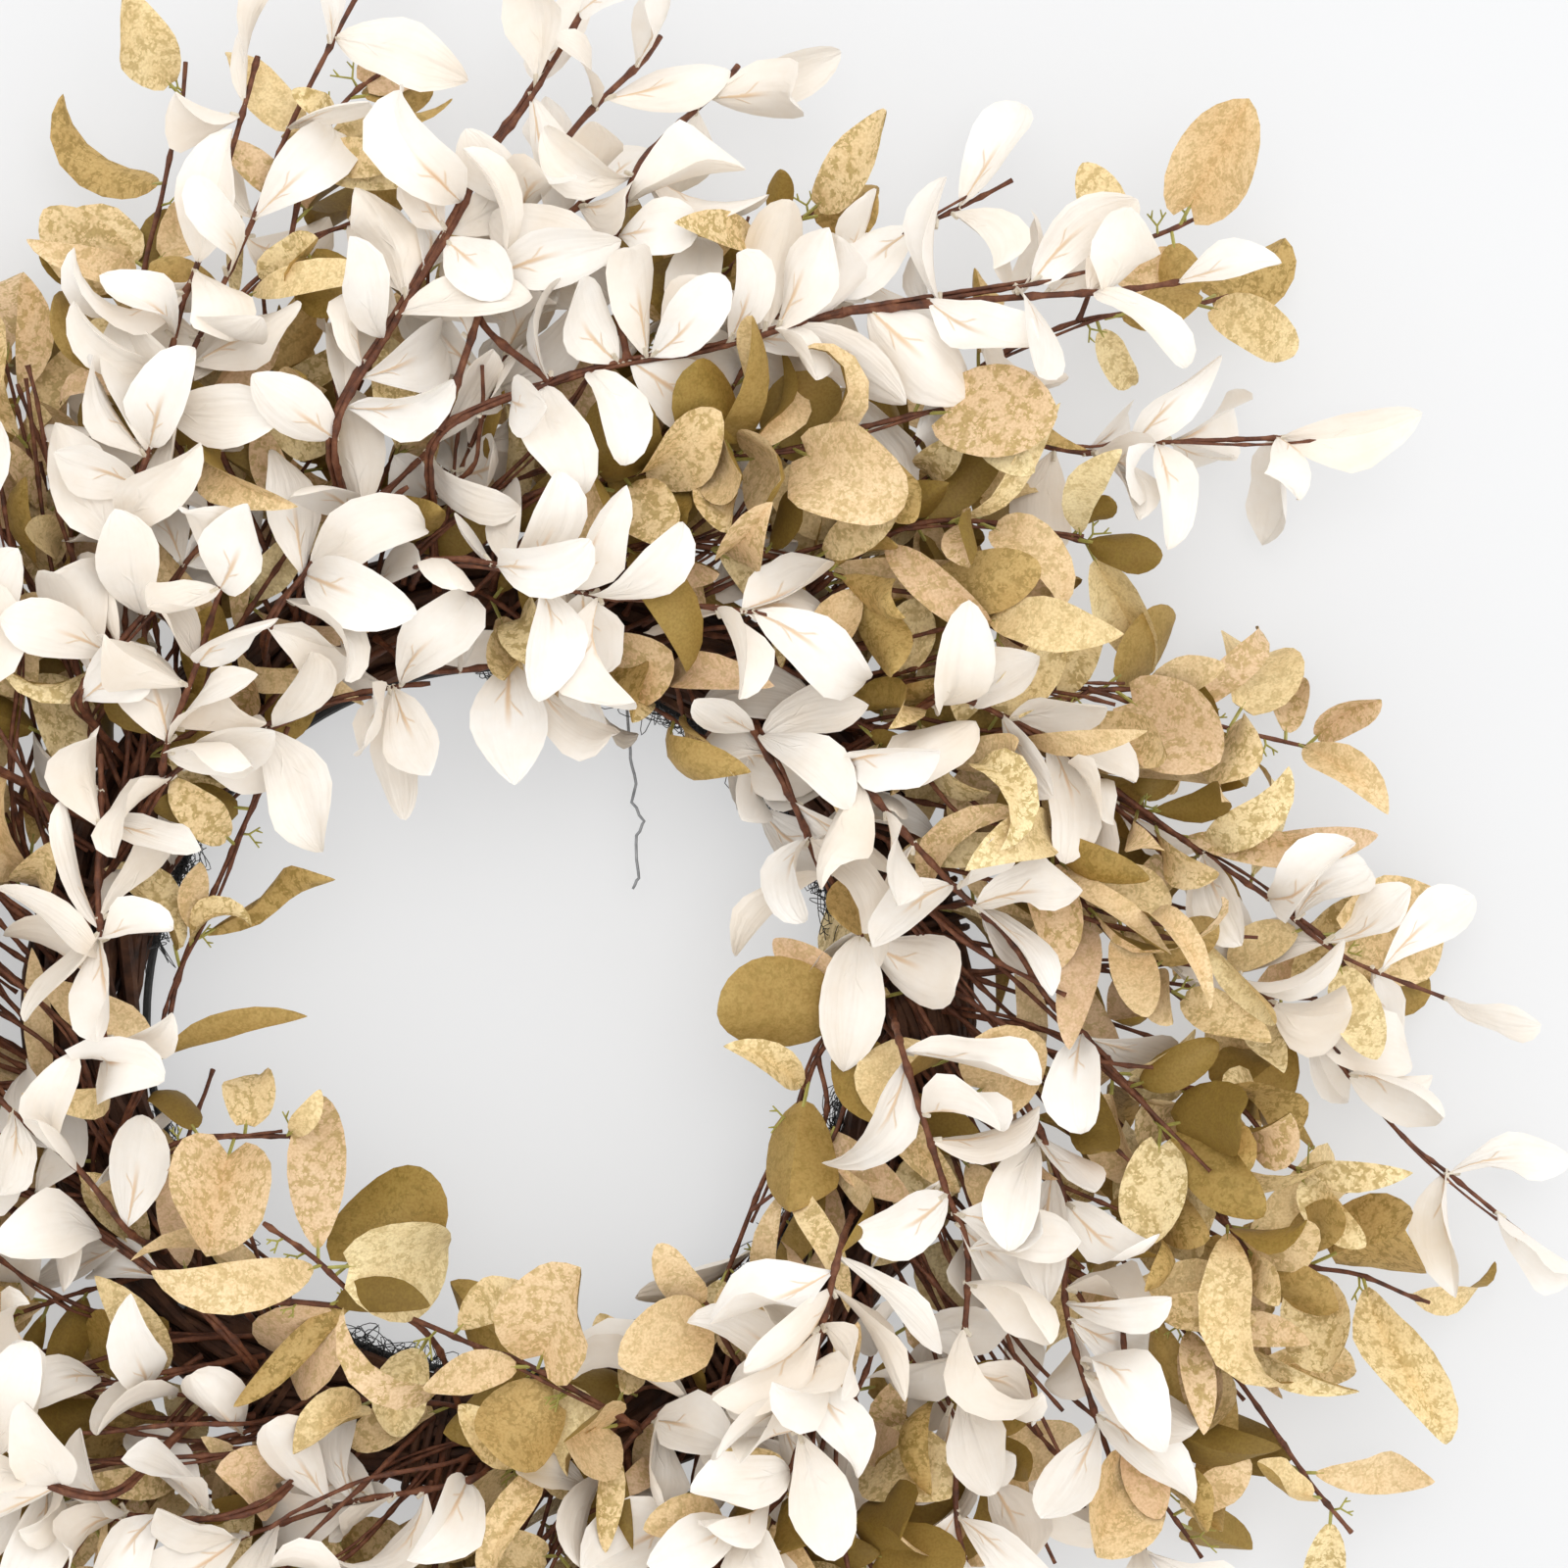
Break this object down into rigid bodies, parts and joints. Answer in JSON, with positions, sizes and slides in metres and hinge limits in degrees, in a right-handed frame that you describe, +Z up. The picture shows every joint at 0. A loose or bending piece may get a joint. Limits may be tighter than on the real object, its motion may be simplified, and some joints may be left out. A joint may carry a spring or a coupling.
{
  "type": "foliage wreath",
  "caption": "Artificial eucalyptus wreath: cream and gold leafy sprays swept one way round a twisted twig ring with an open middle.",
  "frame": {"origin": "centre of the wreath's outline, on the surface it lies on", "axes": "+Z up through the hole, out of the leafy front; +Y towards the top of the wreath as it hangs; +X to the viewer's right"},
  "size_m": [0.679, 0.7178, 0.1143],
  "materials": {
    "cream_leaf": "soft matte cream leaf, faintly translucent, with a tan rib moulded on its underside",
    "gold_leaf": "satin printed gold leaf with fine crackle lines, olive brown on its reverse",
    "vine": "rough dark brown vine",
    "black_wire": "black coated wire",
    "black_tie": "glossy black tie",
    "binding_wire": "dull grey kinked wire"
  },
  "bodies": {
    "root": {"cream_spray_01": "cream_leaf", "cream_spray_02": "cream_leaf", "cream_spray_03": "cream_leaf", "cream_spray_04": "cream_leaf", "cream_spray_05": "cream_leaf", "cream_spray_06": "cream_leaf", "cream_spray_07": "cream_leaf", "cream_spray_08": "cream_leaf", "cream_spray_09": "cream_leaf", "cream_spray_10": "cream_leaf", "cream_spray_11": "cream_leaf", "cream_spray_12": "cream_leaf", "cream_spray_13": "cream_leaf", "cream_spray_14": "cream_leaf", "cream_spray_15": "cream_leaf", "cream_spray_16": "cream_leaf", "cream_spray_17": "cream_leaf", "cream_spray_18": "cream_leaf", "cream_spray_19": "cream_leaf", "cream_spray_20": "cream_leaf", "cream_spray_21": "cream_leaf", "cream_spray_22": "cream_leaf", "cream_spray_23": "cream_leaf", "cream_spray_24": "cream_leaf", "cream_spray_25": "cream_leaf", "cream_spray_26": "cream_leaf", "cream_spray_27": "cream_leaf", "cream_spray_28": "cream_leaf", "cream_spray_29": "cream_leaf", "cream_spray_30": "cream_leaf", "cream_spray_31": "cream_leaf", "cream_spray_32": "cream_leaf", "frame_wire": "black_wire", "gold_spray_01": "gold_leaf", "gold_spray_02": "gold_leaf", "gold_spray_03": "gold_leaf", "gold_spray_04": "gold_leaf", "gold_spray_05": "gold_leaf", "gold_spray_06": "gold_leaf", "gold_spray_07": "gold_leaf", "gold_spray_08": "gold_leaf", "gold_spray_09": "gold_leaf", "gold_spray_10": "gold_leaf", "gold_spray_11": "gold_leaf", "gold_spray_12": "gold_leaf", "gold_spray_13": "gold_leaf", "gold_spray_14": "gold_leaf", "gold_spray_15": "gold_leaf", "gold_spray_16": "gold_leaf", "gold_spray_17": "gold_leaf", "gold_spray_18": "gold_leaf", "gold_spray_19": "gold_leaf", "gold_spray_20": "gold_leaf", "gold_spray_21": "gold_leaf", "gold_spray_22": "gold_leaf", "gold_spray_23": "gold_leaf", "gold_spray_24": "gold_leaf", "stem_tie": "black_tie", "vine_ring": "vine", "wire_tail": "binding_wire"}
  },
  "joints": []
}
